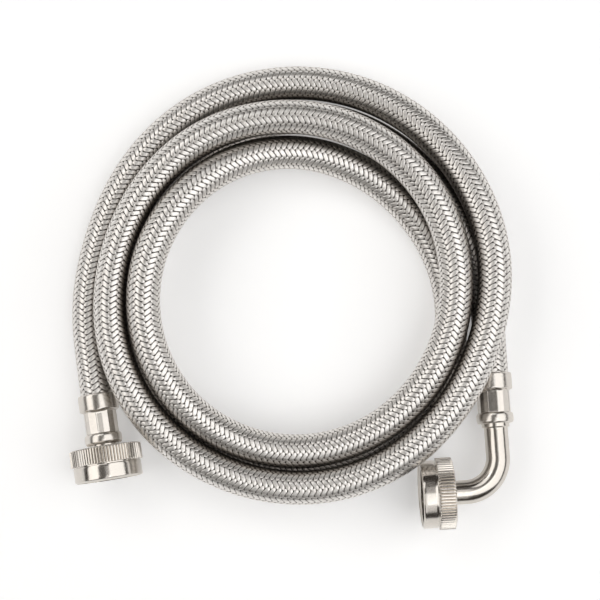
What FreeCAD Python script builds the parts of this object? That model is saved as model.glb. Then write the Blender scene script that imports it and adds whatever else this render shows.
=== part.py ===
import FreeCAD, Part
import math
import os

V = FreeCAD.Vector

# Stainless-braided washing machine supply hose, coiled flat, millimetres.
# One end has a straight fitting, the other a 90 degree elbow. Each fitting carries a knurled swivel nut
# with the 3/4 inch garden hose thread (11.5 threads per inch) and a flat rubber washer.
# The coil lies on the plane z = 0. +Z is up and the origin is under the middle of the part.

doc = FreeCAD.newDocument("supply_line")
sheet = doc.addObject("Spreadsheet::Sheet", "Sizes")

SIZES = [
    # hose
    ("hose_r", 7.15),            # outside of the braid
    ("braid_in_r", 6.6),         # inside of the braid
    ("liner_r", 6.4),            # outside of the rubber liner
    ("liner_in_r", 4.75),        # waterway of the liner
    ("liner_end_s", 16.6),       # the liner ends this far inside each ferrule
    ("braid_end_s", 6.4),        # the braid ends this far inside each ferrule
    # crimped ferrule, s runs from its open end towards the nut
    ("fer_wide_r", 8.5),
    ("fer_wide_in_r", 7.35),
    ("fer_wide_s", 6.9),
    ("fer_waist_s", 7.9),
    ("fer_waist_r", 7.05),
    ("fer_waist_in_r", 6.53),
    ("fer_bead_s", 17.0),
    ("fer_bead_s1", 17.5),
    ("fer_bead_s2", 18.4),
    ("fer_bead_s3", 20.1),
    ("fer_bead_s4", 21.0),
    ("fer_bead_r1", 7.6),
    ("fer_bead_r", 8.0),
    ("fer_end_s", 21.5),
    ("fer_lip_s", 20.3),
    ("fer_lip_r", 6.08),
    ("fer_groove_r", 6.62),
    ("fer_lip_out_r", 7.1),
    ("flat_apothem", 6.85),      # crimping dies press flats on the waist
    ("flat_out", 7.6),
    ("flat_s0", 8.3),
    ("flat_s1", 16.7),
    ("flat_wide", 5.0),
    # end fittings: barbed stem, collar, neck and flange
    ("stem_s", 1.5),
    ("stem_in_r", 3.6),
    ("stem_r", 4.35),
    ("barb_r", 4.7),
    ("barb_len", 3.4),
    ("collar_s", 16.8),
    ("collar_r", 6.5),
    ("collar_end_s", 20.1),
    ("neck_r", 6.0),
    ("flange_r", 12.0),
    ("flange_t", 1.4),
    ("flange_gap", 0.1),
    ("pipe_r", 5.15),
    ("pipe_start_s", 23.2),
    ("bend_r", 14.5),
    ("leg_s", 49.700),          # open end of the ferrule to the corner of the bend
    ("nut_off", 20.0),           # corner of the bend to the back of the elbow nut
    ("neck_in", 0.4),
    ("nut_back_s", 22.5),        # open end of the ferrule to the back of the straight nut
    # swivel nut, from its back face to its mouth
    ("nut_r", 15.2),
    ("nut_smooth_r", 14.4),
    ("nut_knurl_len", 7.2),
    ("nut_len", 14.0),
    ("nut_wall", 1.8),
    ("nut_hole_r", 6.2),
    ("nut_seat_r", 12.75),
    ("nut_seat_end", 6.8),
    ("nut_thread_r", 12.25),
    ("nut_lead", 0.5),
    ("nut_back_round", 1.0),
    # washer
    ("washer_r", 12.6),
    ("washer_in_r", 7.0),
    ("washer_t", 2.6),
    ("washer_at", 4.0),
]
size = dict(SIZES)
for n, (alias, value) in enumerate(SIZES, start=1):
    sheet.set("A%d" % n, alias)
    sheet.set("B%d" % n, repr(value))
    sheet.setAlias("B%d" % n, alias)

# Centre line of the hose from inside the straight ferrule, clockwise seen from above, to inside the
# elbow's ferrule: three and two thirds turns that lie on and beside each other.
ROUTE = [
    (-80.72, -58.16, 14.10),
    (-84.91, -32.83, 10.49),
    (-88.53, -4.26, 7.95),
    (-83.03, 25.13, 7.25),
    (-70.69, 53.02, 7.16),
    (-50.39, 75.39, 7.29),
    (-23.56, 89.33, 7.18),
    (6.56, 93.07, 7.37),
    (36.10, 85.98, 9.56),
    (61.17, 68.69, 13.79),
    (78.77, 43.51, 18.35),
    (86.51, 13.70, 21.49),
    (82.52, -17.40, 22.74),
    (68.73, -46.41, 23.20),
    (46.63, -68.77, 22.91),
    (17.91, -80.62, 21.60),
    (-13.59, -80.40, 20.69),
    (-42.97, -68.42, 21.09),
    (-65.44, -46.39, 22.54),
    (-76.75, -17.31, 23.02),
    (-75.75, 14.50, 21.70),
    (-63.45, 44.18, 21.19),
    (-41.24, 66.22, 21.95),
    (-11.43, 76.43, 22.15),
    (20.20, 73.80, 21.88),
    (47.62, 58.07, 21.60),
    (65.63, 32.19, 21.83),
    (70.57, 0.76, 22.24),
    (61.95, -30.13, 21.58),
    (41.30, -54.27, 19.98),
    (12.07, -66.35, 18.74),
    (-19.33, -63.93, 19.17),
    (-45.94, -47.31, 21.90),
    (-61.43, -20.15, 25.59),
    (-62.59, 11.34, 27.44),
    (-49.30, 39.54, 25.19),
    (-24.94, 58.24, 19.26),
    (4.84, 62.95, 12.66),
    (34.03, 52.84, 8.44),
    (57.08, 31.04, 7.21),
    (69.34, 2.16, 7.22),
    (67.49, -28.37, 7.22),
    (51.68, -54.74, 7.22),
    (25.74, -71.86, 7.22),
    (-4.85, -76.12, 7.22),
    (-33.77, -66.45, 7.22),
    (-55.30, -44.51, 7.22),
    (-66.35, -14.65, 7.22),
    (-66.51, 17.70, 7.22),
    (-55.49, 47.28, 7.22),
    (-33.79, 68.83, 7.22),
    (-4.87, 78.35, 7.22),
    (25.70, 74.55, 7.22),
    (52.65, 58.48, 7.22),
    (72.68, 34.04, 7.23),
    (83.29, 5.36, 7.20),
    (84.96, -23.91, 7.26),
    (86.51, -49.55, 10.75),
]
for n, (x, y, z) in enumerate(ROUTE, start=1):
    sheet.set("D%d" % n, repr(x))
    sheet.set("E%d" % n, repr(y))
    sheet.set("F%d" % n, repr(z))
doc.recompute()

points = [V(*[float(sheet.get("%s%d" % (col, n))) for col in "DEF"]) for n in range(1, len(ROUTE) + 1)]

# Open end of each ferrule, and the way from there to the nut.
straight_at, straight_dir = V(-83.401, -41.941, 11.791), V(0.161418, -0.977024, 0.139173)
elbow_at, elbow_dir = V(85.516, -33.134, 8.513), V(0.060122, -0.989081, 0.134549)


def frame_at(origin, along, side):
    """Placement whose Z is along and whose X is side."""
    z = V(along).normalize()
    x = side - z * side.dot(z)
    x.normalize()
    y = z.cross(x)
    return FreeCAD.Placement(
        FreeCAD.Matrix(x.x, y.x, z.x, origin.x, x.y, y.y, z.y, origin.y, x.z, y.z, z.z, origin.z, 0, 0, 0, 1)
    )


nut_dir = V(elbow_dir.y, -elbow_dir.x, 0).normalize()   # level, square to the leg of the elbow
straight_frame = frame_at(straight_at, straight_dir, V(straight_dir.y, -straight_dir.x, 0))
elbow_frame = frame_at(elbow_at, elbow_dir, nut_dir)
corner = elbow_at + V(elbow_dir).normalize() * size["leg_s"]
straight_nut_frame = frame_at(
    straight_at + V(straight_dir).normalize() * size["nut_back_s"], straight_dir, V(0, 0, 1)
)
elbow_nut_frame = frame_at(corner + nut_dir * size["nut_off"], nut_dir, V(0, 0, 1))


def total(words):
    """Value and formula of a sum of sheet words. A word may start with a minus sign."""
    value, text = 0.0, ""
    for w in words.split():
        sign = -1 if w.startswith("-") else 1
        w = w.lstrip("-")
        value += sign * size[w]
        text += (" - " if sign < 0 else " + ") + "Sizes." + w
    return value, text.strip(" +")


def new_body(name):
    body = doc.addObject("PartDesign::Body", name)
    body.Label = name
    return body


def plane(body, role):
    return [f for f in body.Origin.OriginFeatures if f.Role == role][0]


def new_sketch(body, name, role="XZ_Plane"):
    sk = body.newObject("Sketcher::SketchObject", name)
    sk.AttachmentSupport = [(plane(body, role), "")]
    sk.MapMode = "FlatFace"
    return sk


def pin(sk, geo, pos, x, y):
    """Ties a point of the sketch to sums of sheet cells, measured from the sketch's origin."""
    import Sketcher

    for kind, words, axis in (("DistanceX", x, -2), ("DistanceY", y, -1)):
        if words is None:
            sk.addConstraint(Sketcher.Constraint("PointOnObject", geo, pos, axis))
            continue
        value, text = total(words)
        n = sk.addConstraint(Sketcher.Constraint(kind, -1, 1, geo, pos, value))
        sk.setExpression("Constraints[%d]" % n, text)


def polygon(sk, corners):
    """Closed outline through corners, each given as words for x and y; None is the axis."""
    import Sketcher

    at = [V(*[total(w)[0] if w else 0.0 for w in c], 0) for c in corners]
    first = len(sk.Geometry)
    for i in range(len(at)):
        sk.addGeometry(Part.LineSegment(at[i], at[(i + 1) % len(at)]), False)
    for i in range(len(at)):
        sk.addConstraint(Sketcher.Constraint("Coincident", first + i, 2, first + (i + 1) % len(at), 1))
    for i, (x, y) in enumerate(corners):
        pin(sk, first + i, 1, x, y)


def circle(sk, word):
    import Sketcher

    g = sk.addGeometry(Part.Circle(V(0, 0, 0), V(0, 0, 1), size[word]), False)
    sk.addConstraint(Sketcher.Constraint("Coincident", g, 3, -1, 1))
    n = sk.addConstraint(Sketcher.Constraint("Radius", g, size[word]))
    sk.setExpression("Constraints[%d]" % n, "Sizes." + word)


def revolve(body, name, corners):
    sk = new_sketch(body, name + "_outline")
    polygon(sk, corners)
    rev = body.newObject("PartDesign::Revolution", name)
    rev.Profile = sk
    rev.ReferenceAxis = (sk, ["V_Axis"])
    rev.Angle = 360.0
    return rev


# Ferrules: a wide open end, a crimped waist with twelve die flats, and a rolled bead over the collar
def ferrule(name, place):
    body = new_body(name)
    revolve(
        body,
        name + "_turned",
        [
            ("fer_wide_in_r", None),
            ("fer_wide_r", None),
            ("fer_wide_r", "fer_wide_s"),
            ("fer_waist_r", "fer_waist_s"),
            ("fer_waist_r", "fer_bead_s"),
            ("fer_bead_r1", "fer_bead_s1"),
            ("fer_bead_r", "fer_bead_s2"),
            ("fer_bead_r", "fer_bead_s3"),
            ("fer_bead_r1", "fer_bead_s4"),
            ("fer_lip_out_r", "fer_end_s"),
            ("fer_lip_r", "fer_end_s"),
            ("fer_lip_r", "fer_lip_s"),
            ("fer_groove_r", "fer_lip_s"),
            ("fer_groove_r", "fer_bead_s"),
            ("fer_waist_in_r", "fer_bead_s"),
            ("fer_waist_in_r", "fer_waist_s"),
            ("fer_wide_in_r", "fer_wide_s"),
        ],
    )
    doc.recompute()
    sk = new_sketch(body, name + "_die")
    polygon(
        sk,
        [
            ("flat_apothem", "flat_s0"),
            ("flat_out", "flat_s0"),
            ("flat_out", "flat_s1"),
            ("flat_apothem", "flat_s1"),
        ],
    )
    flat = body.newObject("PartDesign::Pocket", name + "_flat")
    flat.Profile = sk
    flat.setExpression("Length", "Sizes.flat_wide")
    flat.Midplane = True
    doc.recompute()
    flats = body.newObject("PartDesign::PolarPattern", name + "_flats")
    flats.Originals = [flat]
    flats.Axis = (sk, ["V_Axis"])
    flats.Angle = 360.0
    flats.Occurrences = 12
    body.Tip = flats
    body.Placement = place
    return body


ferrule_straight = ferrule("ferrule_straight", straight_frame)
ferrule_elbow = ferrule("ferrule_elbow", elbow_frame)


# Barbed stem inside the hose, with the collar that the ferrule's bead grips
def stem_outline(end_s, end_r):
    # three barbs, each rising to barb_r and dropping back to stem_r
    out = [("stem_in_r", "stem_s"), ("stem_r", "stem_s")]
    at = "stem_s"
    for _ in range(3):
        at += " barb_len"
        out += [("barb_r", at), ("stem_r", at)]
    out += [
        ("stem_r", "collar_s"),
        ("collar_r", "collar_s"),
        ("collar_r", "collar_end_s"),
        (end_r, "collar_end_s"),
    ]
    return out + [(end_r, end_s), ("stem_in_r", end_s)]


insert_straight = new_body("insert_straight")
outline = stem_outline("nut_back_s nut_wall flange_gap", "neck_r")[:-1]
outline += [
    ("flange_r", "nut_back_s nut_wall flange_gap"),
    ("flange_r", "nut_back_s nut_wall flange_gap flange_t"),
    ("stem_in_r", "nut_back_s nut_wall flange_gap flange_t"),
]
revolve(insert_straight, "insert_straight_turned", outline)
insert_straight.Placement = straight_frame

insert_elbow = new_body("insert_elbow")
revolve(insert_elbow, "insert_elbow_stem", stem_outline("pipe_start_s", "neck_r"))
doc.recompute()
import Sketcher

path = new_sketch(insert_elbow, "insert_elbow_path")
leg, bend, off, start = size["leg_s"], size["bend_r"], size["nut_off"] - size["neck_in"], size["pipe_start_s"]
path.addGeometry(Part.LineSegment(V(0, start, 0), V(0, leg - bend, 0)), False)
path.addGeometry(
    Part.ArcOfCircle(Part.Circle(V(bend, leg - bend, 0), V(0, 0, 1), bend), math.pi / 2, math.pi), False
)
path.addGeometry(Part.LineSegment(V(bend, leg, 0), V(off, leg, 0)), False)
pin(path, 0, 1, None, "pipe_start_s")
pin(path, 0, 2, None, "leg_s -bend_r")
pin(path, 2, 1, "bend_r", "leg_s")
pin(path, 2, 2, "nut_off -neck_in", "leg_s")
path.addConstraint(Sketcher.Constraint("Coincident", 1, 2, 0, 2))
path.addConstraint(Sketcher.Constraint("Coincident", 1, 1, 2, 1))
n = path.addConstraint(Sketcher.Constraint("DistanceX", -1, 1, 1, 3, bend))
path.setExpression("Constraints[%d]" % n, "Sizes.bend_r")
ring = new_sketch(insert_elbow, "insert_elbow_ring", "XY_Plane")
ring.setExpression("AttachmentOffset.Base.z", "Sizes.pipe_start_s")
circle(ring, "pipe_r")
circle(ring, "stem_in_r")
doc.recompute()
pipe = insert_elbow.newObject("PartDesign::AdditivePipe", "insert_elbow_pipe")
pipe.Profile = ring
pipe.Spine = (path, ["Edge1", "Edge2", "Edge3"])
doc.recompute()
end = new_sketch(insert_elbow, "insert_elbow_end")
polygon(
    end,
    [
        ("nut_off -neck_in", "leg_s stem_in_r"),
        ("nut_off -neck_in", "leg_s neck_r"),
        ("nut_off nut_wall flange_gap", "leg_s neck_r"),
        ("nut_off nut_wall flange_gap", "leg_s flange_r"),
        ("nut_off nut_wall flange_gap flange_t", "leg_s flange_r"),
        ("nut_off nut_wall flange_gap flange_t", "leg_s stem_in_r"),
    ],
)
axis = end.addGeometry(Part.LineSegment(V(5, leg, 0), V(30, leg, 0)), True)
end.addConstraint(Sketcher.Constraint("Horizontal", axis))
pin(end, axis, 1, "bend_r", "leg_s")
n = end.addConstraint(Sketcher.Constraint("DistanceX", axis, 1, axis, 2, size["nut_off"]))
end.setExpression("Constraints[%d]" % n, "Sizes.nut_off")
flange = insert_elbow.newObject("PartDesign::Revolution", "insert_elbow_flange")
flange.Profile = end
flange.ReferenceAxis = (end, ["Axis0"])
flange.Angle = 360.0
insert_elbow.Placement = elbow_frame


# Swivel nuts: knurled ring behind, smooth ring in front, plain bore at the thread's minor diameter
def nut(name, place):
    body = new_body(name)
    revolve(
        body,
        name + "_turned",
        [
            ("nut_hole_r", None),
            ("nut_r", None),
            ("nut_r", "nut_knurl_len"),
            ("nut_smooth_r", "nut_knurl_len"),
            ("nut_smooth_r", "nut_len"),
            ("nut_thread_r nut_lead", "nut_len"),
            ("nut_thread_r", "nut_len -nut_lead"),
            ("nut_thread_r", "nut_seat_end"),
            ("nut_seat_r", "nut_seat_end"),
            ("nut_seat_r", "nut_wall"),
            ("nut_hole_r", "nut_wall"),
        ],
    )
    doc.recompute()
    turned = body.Tip
    back = [
        "Edge%d" % (i + 1)
        for i, e in enumerate(turned.Shape.Edges)
        if hasattr(e.Curve, "Radius") and abs(e.Curve.Radius - size["nut_r"]) < 1e-6 and abs(e.Curve.Center.z) < 1e-6
    ]
    round_back = body.newObject("PartDesign::Fillet", name + "_round_back")
    round_back.Base = (turned, back)
    round_back.setExpression("Radius", "Sizes.nut_back_round")
    body.Placement = place
    return body


nut_straight = nut("nut_straight", straight_nut_frame)
nut_elbow = nut("nut_elbow", elbow_nut_frame)


# Flat rubber washers, loose in the seat of each nut in front of the flange
def washer(name, place):
    body = new_body(name)
    sk = new_sketch(body, name + "_outline", "XY_Plane")
    sk.setExpression("AttachmentOffset.Base.z", "Sizes.washer_at")
    circle(sk, "washer_r")
    circle(sk, "washer_in_r")
    pad = body.newObject("PartDesign::Pad", name + "_pad")
    pad.Profile = sk
    pad.setExpression("Length", "Sizes.washer_t")
    body.Placement = place
    return body


washer_straight = washer("washer_straight", straight_nut_frame)
washer_elbow = washer("washer_elbow", elbow_nut_frame)


# The hose itself: straight runs joined by tangent arcs
def route_wire(at):
    edges, radii, length, last = [], [], 0.0, at[0]
    for i in range(1, len(at) - 1):
        a, b = at[i] - at[i - 1], at[i + 1] - at[i]
        short = min(a.Length, b.Length)
        a.normalize()
        b.normalize()
        half = a.getAngle(b) / 2
        back = 0.45 * short
        radius = back / math.tan(half)
        enter, leave = at[i] - a * back, at[i] + b * back
        inward = (b - a).normalize()
        middle = at[i] + inward * (radius / math.cos(half) - radius)
        edges.append(Part.LineSegment(last, enter).toShape())
        edges.append(Part.Arc(enter, middle, leave).toShape())
        length += (enter - last).Length + 2 * half * radius
        radii.append(radius)
        last = leave
    edges.append(Part.LineSegment(last, at[-1]).toShape())
    length += (at[-1] - last).Length
    return Part.Wire(edges), radii, length


def tube(name, at, r_out, r_in):
    wire, radii, length = route_wire(at)
    along = at[1] - at[0]
    rings = [Part.Wire([Part.makeCircle(r, at[0], along)]) for r in (r_out, r_in)]
    solid = wire.makePipe(Part.makeFace(rings, "Part::FaceMakerBullseye"))
    thing = doc.addObject("Part::Feature", name)
    thing.Label = name
    thing.Shape = solid
    want = math.pi * (r_out**2 - r_in**2) * length
    print(name, "length %.1f" % length, "volume %.1f of %.1f" % (solid.Volume, want), "tightest radius %.1f" % min(radii))
    print(name, "radii", " ".join("%.0f" % r for r in radii))
    if abs(solid.Volume - want) > 0.001 * want:
        raise ValueError(name + ": volume isn't section times length")
    return thing


def cell(word):
    return float(sheet.get(word))


inner_tube = tube("inner_tube", points, cell("liner_r"), cell("liner_in_r"))
short = cell("liner_end_s") - cell("braid_end_s")
sleeve = list(points)
sleeve[0] = points[0] + (points[1] - points[0]).normalize() * short
sleeve[-1] = points[-1] + (points[-2] - points[-1]).normalize() * short
braid = tube("braid", sleeve, cell("hose_r"), cell("braid_in_r"))

doc.recompute()
parts = [
    inner_tube,
    braid,
    ferrule_straight,
    ferrule_elbow,
    insert_straight,
    insert_elbow,
    nut_straight,
    nut_elbow,
    washer_straight,
    washer_elbow,
]
for obj in doc.Objects:
    if "Invalid" in obj.State or "Error" in obj.State:
        raise RuntimeError("%s is %s" % (obj.Name, obj.State))
for p in parts:
    if p.Shape.isNull() or not p.Shape.isValid() or len(p.Shape.Solids) != 1:
        raise RuntimeError("%s has no good shape" % p.Label)
box = FreeCAD.BoundBox()
for p in parts:
    box.add(p.Shape.BoundBox)
    print("%-18s volume %9.1f faces %d" % (p.Label, p.Shape.Volume, len(p.Shape.Faces)))
print("box", box)
os.makedirs("parts", exist_ok=True)
for p in parts:
    p.Shape.exportStep("parts/%s.step" % p.Label)
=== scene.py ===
import math

import bpy
import mathutils
import numpy as np
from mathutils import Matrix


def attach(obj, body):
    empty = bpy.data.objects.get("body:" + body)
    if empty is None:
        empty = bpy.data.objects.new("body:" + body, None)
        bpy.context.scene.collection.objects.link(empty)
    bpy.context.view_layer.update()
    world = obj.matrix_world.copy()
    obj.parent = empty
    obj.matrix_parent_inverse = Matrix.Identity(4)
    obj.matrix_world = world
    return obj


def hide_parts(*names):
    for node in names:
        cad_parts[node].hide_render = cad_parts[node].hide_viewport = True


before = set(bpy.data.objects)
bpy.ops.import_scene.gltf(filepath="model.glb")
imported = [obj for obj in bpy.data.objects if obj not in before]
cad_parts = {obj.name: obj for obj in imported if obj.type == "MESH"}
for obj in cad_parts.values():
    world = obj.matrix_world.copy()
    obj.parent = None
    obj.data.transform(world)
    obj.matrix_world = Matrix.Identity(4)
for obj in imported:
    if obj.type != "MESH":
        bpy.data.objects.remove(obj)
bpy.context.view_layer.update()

# ---------------------------------------------------------------- camera
scene = bpy.context.scene
cam_data = bpy.data.cameras.new("camera")
cam_data.sensor_width = 36.0
cam_data.lens = 82.57
cam_data.clip_start = 0.01
cam = bpy.data.objects.new("camera", cam_data)
cam.location = (0.003262, -0.001547, 0.600)
cam.rotation_euler = (0.0, 0.0, 0.0)
scene.collection.objects.link(cam)
scene.camera = cam

# ---------------------------------------------------------------- the hose's route, metres
ROUTE = [
    (-0.08072, -0.05816, 0.01410),
    (-0.08491, -0.03283, 0.01049),
    (-0.08853, -0.00426, 0.00795),
    (-0.08303, 0.02513, 0.00725),
    (-0.07069, 0.05302, 0.00716),
    (-0.05039, 0.07539, 0.00729),
    (-0.02356, 0.08933, 0.00718),
    (0.00656, 0.09307, 0.00737),
    (0.03610, 0.08598, 0.00956),
    (0.06117, 0.06869, 0.01379),
    (0.07877, 0.04351, 0.01835),
    (0.08651, 0.01370, 0.02149),
    (0.08252, -0.01740, 0.02274),
    (0.06873, -0.04641, 0.02320),
    (0.04663, -0.06877, 0.02291),
    (0.01791, -0.08062, 0.02160),
    (-0.01359, -0.08040, 0.02069),
    (-0.04297, -0.06842, 0.02109),
    (-0.06544, -0.04639, 0.02254),
    (-0.07675, -0.01731, 0.02302),
    (-0.07575, 0.01450, 0.02170),
    (-0.06345, 0.04418, 0.02119),
    (-0.04124, 0.06622, 0.02195),
    (-0.01143, 0.07643, 0.02215),
    (0.02020, 0.07380, 0.02188),
    (0.04762, 0.05807, 0.02160),
    (0.06563, 0.03219, 0.02183),
    (0.07057, 0.00076, 0.02224),
    (0.06195, -0.03013, 0.02158),
    (0.04130, -0.05427, 0.01998),
    (0.01207, -0.06635, 0.01874),
    (-0.01933, -0.06393, 0.01917),
    (-0.04594, -0.04731, 0.02190),
    (-0.06143, -0.02015, 0.02559),
    (-0.06259, 0.01134, 0.02744),
    (-0.04930, 0.03954, 0.02519),
    (-0.02494, 0.05824, 0.01926),
    (0.00484, 0.06295, 0.01266),
    (0.03403, 0.05284, 0.00844),
    (0.05708, 0.03104, 0.00721),
    (0.06934, 0.00216, 0.00722),
    (0.06749, -0.02837, 0.00722),
    (0.05168, -0.05474, 0.00722),
    (0.02574, -0.07186, 0.00722),
    (-0.00485, -0.07612, 0.00722),
    (-0.03377, -0.06645, 0.00722),
    (-0.05530, -0.04451, 0.00722),
    (-0.06635, -0.01465, 0.00722),
    (-0.06651, 0.01770, 0.00722),
    (-0.05549, 0.04728, 0.00722),
    (-0.03379, 0.06883, 0.00722),
    (-0.00487, 0.07835, 0.00722),
    (0.02570, 0.07455, 0.00722),
    (0.05265, 0.05848, 0.00722),
    (0.07268, 0.03404, 0.00723),
    (0.08329, 0.00536, 0.00720),
    (0.08496, -0.02391, 0.00726),
    (0.08651, -0.04955, 0.01075),
]

curve = bpy.data.curves.new("route", "CURVE")
curve.dimensions = "3D"
curve.resolution_u = 64
spline = curve.splines.new("NURBS")
spline.points.add(len(ROUTE) - 1)
for point, co in zip(spline.points, ROUTE):
    point.co = (*co, 1.0)
spline.order_u = 3
spline.use_endpoint_u = True
route = bpy.data.objects.new("route", curve)
scene.collection.objects.link(route)
line = bpy.data.meshes.new_from_object(route)
pts = np.empty(len(line.vertices) * 3)
line.vertices.foreach_get("co", pts)
pts = pts.reshape(-1, 3)
bpy.data.meshes.remove(line)
bpy.data.objects.remove(route)


def unit(v):
    v = np.asarray(v, float)
    return v / np.linalg.norm(v, axis=-1, keepdims=True)


class Line:
    """A smooth line with frames carried along it without twist."""

    def __init__(self, p, first):
        self.p = p
        step = np.linalg.norm(np.diff(p, axis=0), axis=1)
        self.s = np.concatenate([[0.0], np.cumsum(step)])
        self.length = float(self.s[-1])
        t = unit(np.gradient(p, self.s, axis=0))
        n = np.empty_like(p)
        v = np.asarray(first, float)
        for k in range(len(p)):
            v = v - t[k] * float(v @ t[k])
            v /= np.linalg.norm(v)
            n[k] = v
        self.t, self.n, self.b = t, n, np.cross(t, n)

    def _at(self, table, s):
        return np.stack([np.interp(s, self.s, table[:, k]) for k in range(3)], axis=-1)

    def place(self, s, r, theta):
        """Points at distance s along, radius r and angle theta round the line."""
        over = np.minimum(s, 0.0) + np.maximum(s - self.length, 0.0)
        c = self._at(self.p, s) + self._at(self.t, s) * over[..., None]
        n = unit(self._at(self.n, s))
        b = unit(self._at(self.b, s))
        return c + r[..., None] * (np.cos(theta)[..., None] * n + np.sin(theta)[..., None] * b)


hose = Line(pts, (0.0, 0.0, 1.0))

# ---------------------------------------------------------------- meshes
def build(name, verts, quads, material, body, node, caps=(), sharp=35.0):
    """A closed mesh from quads and optional cap polygons, riding on body and standing for node."""
    verts = np.ascontiguousarray(verts.reshape(-1, 3))
    quads = np.asarray(quads).reshape(-1, 4)
    v0, v1, v2, v3 = (verts[quads[:, k]] - verts[0] for k in range(4))
    volume = np.einsum("ij,ij->i", v0, np.cross(v1, v2)).sum() + np.einsum("ij,ij->i", v0, np.cross(v2, v3)).sum()
    if volume < 0:
        quads = quads[:, ::-1]
        caps = [c[::-1] for c in caps]
    loops = quads.ravel()
    totals = np.full(len(quads), 4)
    if len(caps):
        loops = np.concatenate([loops] + [np.asarray(c) for c in caps])
        totals = np.concatenate([totals, [len(c) for c in caps]])
    starts = np.concatenate([[0], np.cumsum(totals)[:-1]])
    me = bpy.data.meshes.new(name)
    me.vertices.add(len(verts))
    me.vertices.foreach_set("co", verts.ravel())
    me.loops.add(len(loops))
    me.loops.foreach_set("vertex_index", loops.astype(np.int32))
    me.polygons.add(len(totals))
    me.polygons.foreach_set("loop_start", starts.astype(np.int32))
    me.polygons.foreach_set("loop_total", totals.astype(np.int32))
    me.update(calc_edges=True)
    me.validate()
    me.polygons.foreach_set("use_smooth", np.ones(len(me.polygons), dtype=bool))
    if sharp:
        me.set_sharp_from_angle(angle=math.radians(sharp))
    me.materials.append(material)
    ob = bpy.data.objects.new(name, me)
    scene.collection.objects.link(ob)
    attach(ob, body)
    if node:
        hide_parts(node)
    return ob


def ring_quads(rows, segs, close_rows):
    """Quads of a grid of rows by segs, closed round segs, and round rows when close_rows."""
    r = np.arange(rows if close_rows else rows - 1)
    c = np.arange(segs)
    i, j = np.meshgrid(r, c, indexing="ij")
    i2, j2 = (i + 1) % rows, (j + 1) % segs
    return np.stack([i * segs + j, i * segs + j2, i2 * segs + j2, i2 * segs + j], axis=-1)


MM = 0.001


class Axis:
    """A straight local frame: z along, x to the side."""

    def __init__(self, origin, along, side):
        self.o = np.asarray(origin, float) * MM
        self.z = unit(along)
        x = np.asarray(side, float)
        self.x = unit(x - self.z * float(x @ self.z))
        self.y = np.cross(self.z, self.x)

    def place(self, s, r, theta):
        return (
            self.o
            + (s * MM)[..., None] * self.z
            + (r * MM)[..., None] * (np.cos(theta)[..., None] * self.x + np.sin(theta)[..., None] * self.y)
        )


def turned(name, s, r, where, material, body, node, sharp=35.0, phase=0.0):
    """A turned piece: s and r are rows by segs in mm, closed like a ring."""
    rows, segs = r.shape
    theta = np.broadcast_to(np.arange(segs) * (2 * math.pi / segs) + phase, r.shape)
    s = np.broadcast_to(s if s.ndim == 2 else s[:, None], r.shape)
    return build(name, where.place(s, r, theta), ring_quads(rows, segs, True), material, body, node, sharp=sharp)


def profile(points, rounding=(), step=0.0):
    """A closed section with some corners rounded: rounding gives a radius for a point's index."""
    rounding = dict(rounding)
    p = np.asarray(points, float)
    out = []
    n = len(p)
    for k in range(n):
        rad = rounding.get(k, 0.0)
        if rad <= 0:
            out.append(p[k])
            continue
        a, b, c = p[k - 1], p[k], p[(k + 1) % n]
        u, w = unit(a - b), unit(c - b)
        half = math.acos(max(-1.0, min(1.0, float(u @ w)))) / 2
        d = rad / math.tan(half)
        centre = b + unit(u + w) * (rad / math.sin(half))
        q0, q1 = b + u * d - centre, b + w * d - centre
        turn = math.atan2(q0[0] * q1[1] - q0[1] * q1[0], float(q0 @ q1))
        m = max(3, int(abs(turn) / math.radians(15)) + 1)
        for t in np.linspace(0, turn, m):
            cs, sn = math.cos(t), math.sin(t)
            out.append(centre + (q0[0] * cs - q0[1] * sn, q0[0] * sn + q0[1] * cs))
    return np.asarray(out)


def smooth(x):
    x = np.clip(x, 0.0, 1.0)
    return x * x * (3 - 2 * x)


# ---------------------------------------------------------------- materials
def material(name, metallic, colour, rough):
    mat = bpy.data.materials.new(name)
    mat.use_nodes = True
    nt = mat.node_tree
    shader = nt.nodes["Principled BSDF"]
    shader.inputs["Metallic"].default_value = metallic
    shader.inputs["Base Color"].default_value = (*colour, 1.0)
    shader.inputs["Roughness"].default_value = rough
    return mat, nt, shader


def add(nt, kind, **values):
    node = nt.nodes.new(kind)
    for key, value in values.items():
        if hasattr(node, key):
            setattr(node, key, value)
        else:
            node.inputs[key.replace("_", " ")].default_value = value
    return node


def noise(nt, scale, detail=4.0, rough=0.5, stretch=None):
    coord = nt.nodes.new("ShaderNodeTexCoord")
    out = coord.outputs["Object"]
    if stretch:
        m = nt.nodes.new("ShaderNodeMapping")
        m.inputs["Scale"].default_value = stretch
        nt.links.new(out, m.inputs["Vector"])
        out = m.outputs["Vector"]
    tex = nt.nodes.new("ShaderNodeTexNoise")
    tex.inputs["Scale"].default_value = scale
    tex.inputs["Detail"].default_value = detail
    tex.inputs["Roughness"].default_value = rough
    nt.links.new(out, tex.inputs["Vector"])
    return tex.outputs["Fac"]


def ramp(nt, source, stops):
    node = nt.nodes.new("ShaderNodeValToRGB")
    els = node.color_ramp.elements
    while len(els) < len(stops):
        els.new(0.5)
    for el, (pos, value) in zip(els, stops):
        el.position = pos
        el.color = (*value, 1.0) if hasattr(value, "__len__") else (value, value, value, 1.0)
    nt.links.new(source, node.inputs["Fac"])
    return node.outputs["Color"]


def bump(nt, source, shader, distance, strength=1.0):
    node = nt.nodes.new("ShaderNodeBump")
    node.inputs["Distance"].default_value = distance
    node.inputs["Strength"].default_value = strength
    nt.links.new(source, node.inputs["Height"])
    nt.links.new(node.outputs["Normal"], shader.inputs["Normal"])


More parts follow.
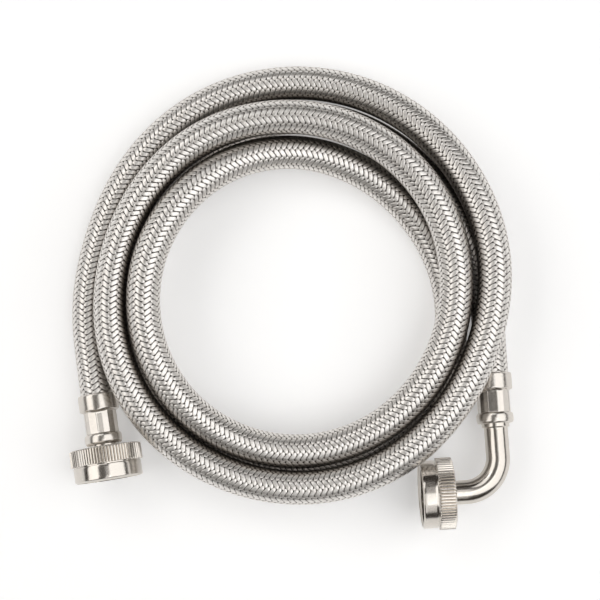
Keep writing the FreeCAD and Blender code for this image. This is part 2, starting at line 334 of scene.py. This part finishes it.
def wire_steel(name):
    mat, nt, sh = material(name, 1.0, (0.75, 0.73, 0.70), 0.33)
    n = noise(nt, 900.0, 3.0)
    steel = ramp(nt, n, [(0.25, (0.618, 0.587, 0.553)), (0.5, (0.793, 0.764, 0.729)), (0.8, (0.865, 0.847, 0.82))])
    # painted shade: a per-point value from the braid meshes darkens the wire's base colour in the weave's recesses,
    # at plait edges and near other turns
    painted_shade = nt.nodes.new("ShaderNodeAttribute")
    painted_shade.attribute_name = "painted_shade"
    shade = ramp(nt, painted_shade.outputs["Fac"], [(0.0, (0.10, 0.085, 0.072)), (0.45, (0.40, 0.375, 0.35)), (0.85, (1.0, 1.0, 1.0))])
    both = nt.nodes.new("ShaderNodeMix")
    both.data_type = "RGBA"
    both.blend_type = "MULTIPLY"
    both.inputs["Factor"].default_value = 1.0
    nt.links.new(steel, both.inputs[6])
    nt.links.new(shade, both.inputs[7])
    nt.links.new(both.outputs[2], sh.inputs["Base Color"])
    m = noise(nt, 2300.0, 2.0)
    nt.links.new(ramp(nt, m, [(0.3, 0.29), (0.7, 0.42)]), sh.inputs["Roughness"])
    bump(nt, noise(nt, 5200.0, 2.0), sh, 0.00002, 0.5)
    return mat


def nickel(name, base, rough):
    mat, nt, sh = material(name, 1.0, base, rough)
    big = noise(nt, 120.0, 5.0)
    dark = tuple(c * 0.93 for c in base)
    nt.links.new(ramp(nt, big, [(0.3, dark), (0.6, base)]), sh.inputs["Base Color"])
    fine = noise(nt, 700.0, 4.0, 0.6)
    nt.links.new(ramp(nt, fine, [(0.3, rough * 0.88), (0.75, rough * 1.15)]), sh.inputs["Roughness"])
    bump(nt, noise(nt, 160.0, 3.0), sh, 0.00002, 0.2)
    return mat


def rubber(name, colour, rough):
    mat, nt, sh = material(name, 0.0, colour, rough)
    n = noise(nt, 400.0, 4.0)
    light = tuple(c * 1.6 + 0.004 for c in colour)
    nt.links.new(ramp(nt, n, [(0.3, colour), (0.8, light)]), sh.inputs["Base Color"])
    nt.links.new(ramp(nt, noise(nt, 900.0), [(0.3, rough - 0.12), (0.7, rough + 0.12)]), sh.inputs["Roughness"])
    bump(nt, noise(nt, 1800.0, 3.0), sh, 0.00005, 0.5)
    return mat


WIRE = wire_steel("braid_wire")
NICKEL = nickel("nickel_plate", (0.645, 0.604, 0.552), 0.18)
SATIN = nickel("nickel_satin", (0.665, 0.626, 0.578), 0.235)
NUT = nickel("nickel_nut", (0.655, 0.615, 0.565), 0.17)
LINER = rubber("liner_rubber", (0.018, 0.017, 0.016), 0.62)
GASKET = rubber("washer_rubber", (0.02, 0.02, 0.02), 0.55)

# ---------------------------------------------------------------- liner
rings = np.linspace(0.0, hose.length, 900)
around = np.arange(40) * (2 * math.pi / 40)
grid_s, grid_a = np.meshgrid(rings, around, indexing="ij")
outer = hose.place(grid_s, np.full(grid_s.shape, 0.0064), grid_a)
inner = hose.place(grid_s[::-1], np.full(grid_s.shape, 0.00475), grid_a)
liner = build(
    "liner", np.concatenate([outer, inner]), ring_quads(1800, 40, True), LINER, "hose", "inner_tube"
)

# ---------------------------------------------------------------- woven braid
CARRIERS = 12            # in each direction
LEAD = 0.0288            # one turn of a carrier along the hose
R0, AMP = 0.006890, 0.000135
WIDTH = 0.00197          # of a flat plait of parallel wires
WIRES = 4
PHI = math.atan(2 * math.pi * R0 / LEAD)
start = 0.0102
end = hose.length - 0.0102
pitch = LEAD / 72        # three rings to each crossing
k0 = math.ceil(start / pitch - 0.5)
k1 = math.floor(end / pitch - 0.5)
knots = (np.arange(k0, k1 + 1) + 0.5) * pitch

top = np.linspace(-0.5, 0.5, 2 * WIRES + 1)
lift = np.where(np.arange(len(top)) % 2 == 1, 0.000122, 0.000082) - 0.00003 * (2 * top) ** 2
lift[0] = lift[-1] = -0.00002
section_p = np.concatenate([top, [0.42, -0.42]]) * WIDTH
section_h = np.concatenate([lift, [-0.000115, -0.000115]])


# painted shade: the turns lie against each other, so where another turn is close the braid's colour is painted
# darker
shade_s = np.linspace(0.0, hose.length, 871)
shade_a = np.arange(24) * (2 * math.pi / 24)
ss, aa = np.meshgrid(shade_s, shade_a, indexing="ij")
skin = hose.place(ss, np.full(ss.shape, 0.00715), aa)
core = hose._at(hose.p, shade_s)
out_dir = (skin - core[:, None, :]) / 0.00715
shade = np.zeros(ss.shape)
for k in range(0, len(shade_s), 30):
    far = np.abs(shade_s[None, :] - shade_s[k : k + 30, None]) > 0.045
    d = core[None, None, :, :] - skin[k : k + 30, :, None, :]
    dist = np.linalg.norm(d, axis=-1)
    facing = np.clip(np.einsum("iajk,iak->iaj", d, out_dir[k : k + 30]) / dist, 0.0, 1.0)
    near = np.exp(-np.clip(dist - 0.00715, 0.0, None) / 0.0040) * np.sqrt(facing) * far[:, None, :]
    shade[k : k + 30] = near.max(axis=2)


def painted_turn_shade(s, theta):
    """Painted shade: 0 in the open to 1 against another turn, read from the table above."""
    i = np.clip(s / hose.length * 870, 0, 869.999)
    j = (theta / (2 * math.pi) * 24) % 24
    i0, j0 = i.astype(int), j.astype(int) % 24
    u, v = i - i0, j - np.floor(j)
    j1 = (j0 + 1) % 24
    low = shade[i0, j0] * (1 - v) + shade[i0, j1] * v
    high = shade[i0 + 1, j0] * (1 - v) + shade[i0 + 1, j1] * v
    return low * (1 - u) + high * u


def weave(x):
    """Over two, under two: 1 where the carrier lies on top, -1 where it lies below."""
    return np.tanh(3.2 * np.cos(2 * math.pi * (x - 0.5) / 4)) / math.tanh(3.2)


def carrier(index, side):
    # a plait draws in a little where it dives under the next one
    mid = index + (index + side * 24 * knots / LEAD)
    draw = 0.60 + 0.40 * np.abs(weave(mid))
    across = draw[:, None] * section_p[None, :]
    s = knots[:, None] - side * across * math.sin(PHI)
    theta = side * 2 * math.pi * knots[:, None] / LEAD + 2 * math.pi * index / CARRIERS + across * math.cos(PHI) / R0
    a = (theta - 2 * math.pi * s / LEAD) * CARRIERS / (2 * math.pi)
    b = (theta + 2 * math.pi * s / LEAD) * CARRIERS / (2 * math.pi)
    x = index + (b if side > 0 else a)
    r = R0 + side * AMP * weave(x) + section_h[None, :]
    verts = hose.place(s, r, theta).reshape(-1, 3)
    m = len(section_p)
    # how far each point stands up out of the weave sets its painted shade: darker in the weave's recesses and
    # towards a plait's edges, and darker still near another turn
    painted_shade = smooth((r - (R0 - 0.00006)) / 0.00020) * (1 - 0.40 * np.abs(section_p / WIDTH * 2)[None, :] ** 8)
    painted_shade = painted_shade * (1 - 0.86 * np.clip(painted_turn_shade(s, theta) * 1.1, 0.0, 1.0))
    quads = ring_quads(len(knots), m, False).reshape(-1, 4)
    first = np.arange(m)[::-1]
    last = np.arange(m) + (len(knots) - 1) * m
    return verts, quads, [first, last], painted_shade.ravel()


for side, label in ((1, "a"), (-1, "b")):
    for group in range(6):
        vs, qs, caps, painted_shade_parts, base = [], [], [], [], 0
        for index in (group, group + 6):
            v, q, c, painted_shade_values = carrier(index, side)
            vs.append(v)
            painted_shade_parts.append(painted_shade_values)
            qs.append(q + base)
            caps += [cap + base for cap in c]
            base += len(v)
        ob = build("braid_%s_%d" % (label, group + 1), np.concatenate(vs), np.concatenate(qs), WIRE, "hose", "braid", caps, sharp=0)
        painted_shade_values = np.concatenate(painted_shade_parts)
        layer = ob.data.attributes.new("painted_shade", "FLOAT", "POINT")
        if len(layer.data) == len(painted_shade_values):
            layer.data.foreach_set("value", painted_shade_values.astype(np.float32))

# ---------------------------------------------------------------- fittings
D_S = unit((0.161418, -0.977024, 0.139173))
D_E = unit((0.060122, -0.989081, 0.134549))
N_D = unit((D_E[1], -D_E[0], 0.0))
OPEN_S = np.array((-83.401, -41.941, 11.791))
OPEN_E = np.array((85.516, -33.134, 8.513))
LEG = 49.700
CORNER = OPEN_E + D_E * LEG
axis_s = Axis(OPEN_S, D_S, (D_S[1], -D_S[0], 0.0))
axis_e = Axis(OPEN_E, D_E, N_D)
nut_s = Axis(OPEN_S + D_S * 22.5, D_S, (0.0, 0.0, 1.0))
nut_e = Axis(CORNER + N_D * 20.0, N_D, (0.0, 0.0, 1.0))


def ferrule(name, where, lobes, depth, phase, node):
    segs = 480
    th = np.arange(segs) * (2 * math.pi / segs)
    rng = np.random.default_rng(7 + lobes)
    edges = (np.arange(12) + rng.uniform(-0.18, 0.18, 12)) * (math.pi / 6) + phase
    near = np.abs((th[:, None] - edges[None, :] + math.pi) % (2 * math.pi) - math.pi).min(axis=1)
    width = math.pi / 12
    facet = np.clip(width - near, -width, width)
    waist = np.minimum(6.86 / np.cos(facet), 7.05) + 0.09 * np.exp(-((near / 0.020) ** 2)) - 0.03
    faint = np.full(segs, 8.5)
    lobe = np.abs(np.cos(lobes * (th + phase) / 2))
    s_mouth = np.array([0.0, 0.06, 0.2, 0.42, 0.7])
    r_mouth = np.array([-0.7, -0.42, -0.2, -0.06, 0.0])
    s_list, r_list = [], []
    for s, dr in zip(s_mouth, r_mouth):
        s_list.append(np.full(segs, s))
        r_list.append(faint + dr)
    shoulder = 6.35 + depth * lobe
    for t in np.linspace(0.12, 1.0, 12):
        s_list.append(0.7 + (shoulder - 0.7) * t)
        r_list.append(faint.copy())
    for t in np.linspace(0.1, 1.0, 10):
        s_list.append(shoulder + 1.15 * t)
        r_list.append(faint + (waist - faint) * smooth(t))
    s0 = shoulder + 1.15
    for t in np.linspace(0.08, 1.0, 14):
        s_list.append(s0 + (16.7 - s0) * t)
        r_list.append(waist.copy())
    for t in np.linspace(0.0, 1.0, 30):
        u = -1 + 2 * t
        s = 19.1 + 2.4 * u
        bead = 7.06 + 0.94 * (1 - abs(u) ** 2.6) ** (1 / 2.0) if abs(u) < 1 else 7.06
        w = float(smooth(np.array((s - 16.7) / 0.5)))
        s_list.append(np.full(segs, s))
        r_list.append(waist + (bead - waist) * w if u < 0 else np.full(segs, bead))
    for s, r in ((21.5, 6.3), (21.42, 6.08), (20.3, 6.08), (20.3, 6.62), (16.7, 6.62), (16.5, 6.53), (8.2, 6.53), (7.2, 7.35), (0.3, 7.35), (0.05, 7.5)):
        s_list.append(np.full(segs, s))
        r_list.append(np.full(segs, r))
    ob = turned(name, np.array(s_list), np.array(r_list), where, SATIN, "hose", node, sharp=28.0)
    return ob


ferrule_s = ferrule("ferrule_straight_crimp", axis_s, 6, 0.55, math.pi / 6, "ferrule_straight")
ferrule_e = ferrule("ferrule_elbow_crimp", axis_e, 10, 0.4, 0.0, "ferrule_elbow")

# stem with three barbs, shared by both inserts, s and r in mm
STEM = [(1.5, 3.6), (1.5, 4.1)]
for k in range(3):
    b0 = 2.6 + 3.4 * k
    STEM += [(b0, 4.35), (b0 + 2.9, 4.7), (b0 + 3.1, 4.35)]
STEM += [(16.8, 4.35), (16.8, 6.5), (20.1, 6.5), (20.1, 6.0)]


def spin(points, rounding=(), segs=96):
    p = profile(points, rounding)
    return p[:, 0], np.broadcast_to(p[:, 1][:, None], (len(p), segs))


n = len(STEM)
s_rows, r_rows = spin(
    STEM + [(24.4, 6.0), (24.4, 12.0), (25.8, 12.0), (25.8, 3.6)],
    {n + 1: 0.25, n + 2: 0.35},
)
insert_s = turned("insert_straight_stem", s_rows, r_rows, axis_s, NICKEL, "hose", "insert_straight")

# the elbow: stem, collar, bent pipe and flange on one bent line
bend = 14.5
arc0 = CORNER - D_E * bend
centre = arc0 + N_D * bend
turn = np.linspace(0, math.pi / 2, 65)
arc = centre + bend * (-np.cos(turn)[:, None] * N_D + np.sin(turn)[:, None] * D_E)
straight_in = OPEN_E + np.linspace(0, LEG - bend, 60)[:-1, None] * D_E
straight_out = CORNER + np.linspace(bend, 24.0, 30)[1:, None] * N_D
elbow_line = Line(np.concatenate([straight_in, arc, straight_out]) * MM, N_D)
s_nut = LEG - bend + bend * math.pi / 2 + (20.0 - bend)


class Bent:
    def place(self, s, r, theta):
        return elbow_line.place(s * MM, r * MM, theta)


pts_e = STEM + [(22.9, 6.0), (23.2, 5.75), (23.2, 5.15)]
m = len(pts_e)
pts_e += [(s, 5.15) for s in np.linspace(24.5, s_nut - 0.6, 74)]
k = len(pts_e)
pts_e += [(s_nut + 0.4, 5.15), (s_nut + 0.4, 6.0), (s_nut + 1.9, 6.0), (s_nut + 1.9, 12.0), (s_nut + 3.3, 12.0), (s_nut + 3.3, 3.6)]
pts_e += [(s, 3.6) for s in np.linspace(s_nut - 2.0, 5.0, 60)]
s_rows, r_rows = spin(pts_e, {k + 3: 0.25, k + 4: 0.35, m - 3: 0.2, m - 1: 0.3})
insert_e = turned("insert_elbow_pipe", s_rows, r_rows, Bent(), NICKEL, "hose", "insert_elbow")


def swivel_nut(name, where, body, node):
    teeth, per = 72, 6
    segs = teeth * per
    th = np.arange(segs) * (2 * math.pi / segs)
    tooth = (np.arange(segs) % per) / per
    wave = np.clip(1.7 * np.abs(2 * tooth - 1) - 0.2, 0.0, 1.0)   # 1 at the tips
    s_list, r_list = [], []

    def row(s, r):
        s_list.append(np.full(segs, float(s)) if np.ndim(s) == 0 else s)
        r_list.append(np.full(segs, float(r)) if np.ndim(r) == 0 else r)

    row(0.0, 6.2)
    for r in (8.0, 10.5, 12.6, 13.5):
        row(0.0, r)
    for t in np.linspace(0.0, math.pi / 2, 9):
        fade = smooth(np.array((t - 0.1) / 1.0))
        row(0.85 - 0.85 * math.cos(t), 13.8 + 0.8 * math.sin(t) + (0.6 * wave) * float(fade))
    for s in (1.4, 2.2, 3.2, 4.2, 5.2, 6.2, 6.8):
        row(s, 14.6 + 0.6 * wave)
    row(7.05, 14.6 + 0.56 * wave)
    row(7.18, 14.55 + 0.35 * wave)
    row(7.22, 14.1)
    row(7.6, 14.08)
    row(7.72, 14.34)
    row(7.88, 14.4)
    for s in (8.8, 10.0, 11.2, 12.4, 13.3):
        row(s, 14.4)
    row(13.55, 14.36)
    row(13.76, 14.22)
    row(13.92, 14.0)
    row(14.0, 13.8)
    row(14.0, 13.72)
    # inside: chamfer, thread, seat and back wall
    pitch_mm = 2.209
    for s in np.arange(13.95, 6.9, -0.16):
        turn_ = (s / pitch_mm - th / (2 * math.pi)) % 1.0
        ridge = np.clip(2.6 * (1 - np.abs(2 * turn_ - 1)) - 0.55, 0.0, 1.0)
        depth = 13.62 - 1.37 * ridge
        lead = 13.62 - 1.4 * float(smooth(np.array((14.0 - s) / 1.3)))
        out = 12.25 + 0.5 * float(smooth(np.array((7.9 - s) / 0.9)))
        row(s, np.maximum(np.maximum(depth, lead), out))
    row(6.8, 12.75)
    row(4.5, 12.75)
    row(2.1, 12.75)
    row(1.8, 12.5)
    row(1.8, 6.35)
    row(1.6, 6.2)
    ob = turned(name, np.array(s_list), np.array(r_list), where, NUT, body, node, sharp=32.0)
    return ob


nut_1 = swivel_nut("nut_straight_knurled", nut_s, "straight_nut", "nut_straight")
nut_2 = swivel_nut("nut_elbow_knurled", nut_e, "elbow_nut", "nut_elbow")


def washer(name, where, body, node):
    s_rows, r_rows = spin([(4.0, 7.0), (4.0, 12.6), (6.6, 12.6), (6.6, 7.0)], {0: 0.3, 1: 0.4, 2: 0.4, 3: 0.3}, 128)
    ob = turned(name, s_rows, r_rows, where, GASKET, body, node)
    return ob


washer_1 = washer("washer_straight_rubber", nut_s, "straight_seat", "washer_straight")
washer_2 = washer("washer_elbow_rubber", nut_e, "elbow_seat", "washer_elbow")

# ---------------------------------------------------------------- floor, light, world
def plate(name, half, z, mat):
    me = bpy.data.meshes.new(name)
    me.from_pydata([(-half, -half, z), (half, -half, z), (half, half, z), (-half, half, z)], [], [(0, 1, 2, 3)])
    me.materials.append(mat)
    ob = bpy.data.objects.new(name, me)
    scene.collection.objects.link(ob)
    return ob


floor_mat, nt, sh = material("floor", 0.0, (0.93, 0.93, 0.93), 0.9)
sh.inputs["Emission Color"].default_value = (1.0, 1.0, 1.0, 1.0)
coord = nt.nodes.new("ShaderNodeTexCoord")
away = nt.nodes.new("ShaderNodeVectorMath")
away.operation = "LENGTH"
nt.links.new(coord.outputs["Object"], away.inputs[0])
glow = nt.nodes.new("ShaderNodeMapRange")
glow.inputs["From Min"].default_value = 0.45
glow.inputs["From Max"].default_value = 2.2
glow.inputs["To Min"].default_value = 0.26
glow.inputs["To Max"].default_value = 0.92
nt.links.new(away.outputs["Value"], glow.inputs["Value"])
nt.links.new(glow.outputs["Result"], sh.inputs["Emission Strength"])
plate("floor", 6.0, -0.0002, floor_mat)


def softbox(name, loc, target, size, radiance, colour=(1, 1, 1)):
    data = bpy.data.lights.new(name, "AREA")
    data.shape = "RECTANGLE"
    data.size, data.size_y = size
    data.energy = radiance * math.pi * size[0] * size[1]
    data.color = colour
    ob = bpy.data.objects.new(name, data)
    ob.location = loc
    d = unit(np.asarray(target, float) - np.asarray(loc, float))
    z = -d
    up = np.array((0.0, 1.0, 0.0)) if abs(z[1]) < 0.9 else np.array((1.0, 0.0, 0.0))
    x = unit(np.cross(up, z))
    y = np.cross(z, x)
    ob.matrix_world = mathutils.Matrix(
        ((x[0], y[0], z[0], loc[0]), (x[1], y[1], z[1], loc[1]), (x[2], y[2], z[2], loc[2]), (0, 0, 0, 1))
    )
    ob.visible_camera = False
    scene.collection.objects.link(ob)
    return ob


softbox("right", (0.705, 0.0, 0.97), (0, 0, 0), (1.28, 1.5), 1.45)
softbox("left", (-0.850, 0.05, 0.850), (0, 0, 0), (0.76, 1.6), 1.55, (1.0, 0.985, 0.965))
softbox("front", (0.08, -0.50, 1.08), (0, 0, 0), (0.36, 1.5), 0.92)
softbox("back", (-0.32, 0.739, 0.946), (0, 0, 0), (0.66, 0.50), 1.3)

# a studio dome: pale at the horizon, a darker gap above it, bright overhead
world = bpy.data.worlds.new("studio")
world.use_nodes = True
wt = world.node_tree
bg = wt.nodes["Background"]
coord = wt.nodes.new("ShaderNodeTexCoord")
split = wt.nodes.new("ShaderNodeSeparateXYZ")
wt.links.new(coord.outputs["Generated"], split.inputs["Vector"])
dome = wt.nodes.new("ShaderNodeValToRGB")
stops = [(0.17, (0.96, 0.96, 0.96)), (0.215, (0.035, 0.030, 0.026)), (0.55, (0.05, 0.045, 0.04)), (0.80, (0.115, 0.108, 0.102)), (1.0, (0.14, 0.133, 0.126))]
els = dome.color_ramp.elements
while len(els) < len(stops):
    els.new(0.5)
for el, (pos, value) in zip(els, stops):
    el.position = pos
    el.color = (*value, 1.0)
wt.links.new(split.outputs["Z"], dome.inputs["Fac"])
wt.links.new(dome.outputs["Color"], bg.inputs["Color"])
bg.inputs["Strength"].default_value = 1.0
scene.world = world
scene.view_settings.view_transform = "Standard"
scene.view_settings.look = "None"
